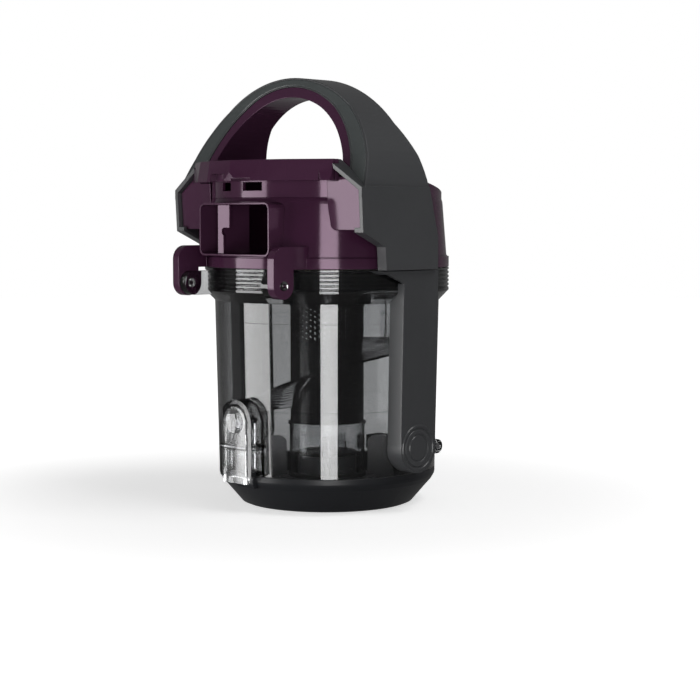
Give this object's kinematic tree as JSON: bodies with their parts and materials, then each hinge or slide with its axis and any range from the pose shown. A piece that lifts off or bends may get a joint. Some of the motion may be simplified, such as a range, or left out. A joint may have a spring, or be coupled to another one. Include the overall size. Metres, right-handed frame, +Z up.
{
  "type": "vacuum cleaner dust container",
  "caption": "Removable cyclonic dust container of a bagless canister vacuum, with carrying handle, drop-open lid, press latch and hinged purple filter housing.",
  "frame": {"origin": "centre of the base, where the axis of the lid's central bore meets the table", "axes": "+Z up along the container's axis; the outlet port and the latch lever face -Y; the handle spans X; the lid hinge and the hose bore are on +Y"},
  "size_m": [0.18, 0.1875, 0.284],
  "materials": {
    "lid_black": "near-black satin moulded plastic",
    "rubber": "black soft rubber",
    "clear": "clear glossy styrene",
    "steel": "plain bright steel",
    "anthracite": "anthracite plastic with fine grain",
    "smoke": "dark grey satin plastic",
    "smoke_clear": "smoke-tinted clear plastic",
    "filter_paper": "off-white pleated filter fleece",
    "purple": "deep purple gloss plastic",
    "trim_grey": "grey gloss plastic"
  },
  "bodies": {
    "container": {"container": "clear", "latch_pin": "steel", "latch_spring": "steel", "lid_hinge_pin": "steel", "leg_right": "anthracite", "leg_left": "anthracite", "leg_cap_right": "anthracite", "leg_cap_left": "anthracite", "leg_screws": "steel", "inner_cup": "clear", "shroud": "smoke", "lid_plug": "smoke", "shroud_screen": "smoke", "separator_plate": "smoke", "inlet_duct": "clear", "swirl_ramp": "smoke_clear", "pleated_filter": "filter_paper", "filter_lid": "smoke"},
    "lid": {"lid": "lid_black", "lid_baffle": "lid_black", "lid_seal": "rubber", "cup_seal": "rubber"},
    "lever": {"latch_lever": "clear"},
    "housing": {"housing_ring": "purple", "housing_seal": "rubber", "outlet_housing": "purple", "housing_rear": "purple", "housing_deck": "purple", "port_sleeve": "purple", "port_rib": "purple", "cheek_panel_right": "purple", "cheek_panel_left": "purple", "inlet_elbow": "smoke", "top_cover": "purple", "handle_shell": "anthracite", "handle_trim": "trim_grey", "handle_lining": "purple", "handle_screws": "steel", "catch_pin": "steel"},
    "catch": {"housing_catch": "purple"}
  },
  "joints": [
    {"name": "lid_hinge", "type": "hinge", "parent": "container", "child": "lid", "pos_m": [0, 0.082, 0.031], "axis": [1, 0, 0], "range_deg": [0, 85]},
    {"name": "latch_pivot", "type": "hinge", "parent": "container", "child": "lever", "pos_m": [0, -0.0778, 0.043], "axis": [-1, 0, 0], "range_deg": [0, 10], "stiffness_Nm_per_rad": 0.12, "springref_deg": -5.73, "deforming": ["latch_spring"]},
    {"name": "housing_hinge", "type": "hinge", "parent": "container", "child": "housing", "pos_m": [0, -0.086, 0.1495], "axis": [1, 0, 0], "range_deg": [0, 75]},
    {"name": "catch_pivot", "type": "hinge", "parent": "housing", "child": "catch", "pos_m": [0, 0.087, 0.1632], "axis": [1, 0, 0], "range_deg": [0, 12], "stiffness_Nm_per_rad": 0.1, "springref_deg": -5.73}
  ]
}
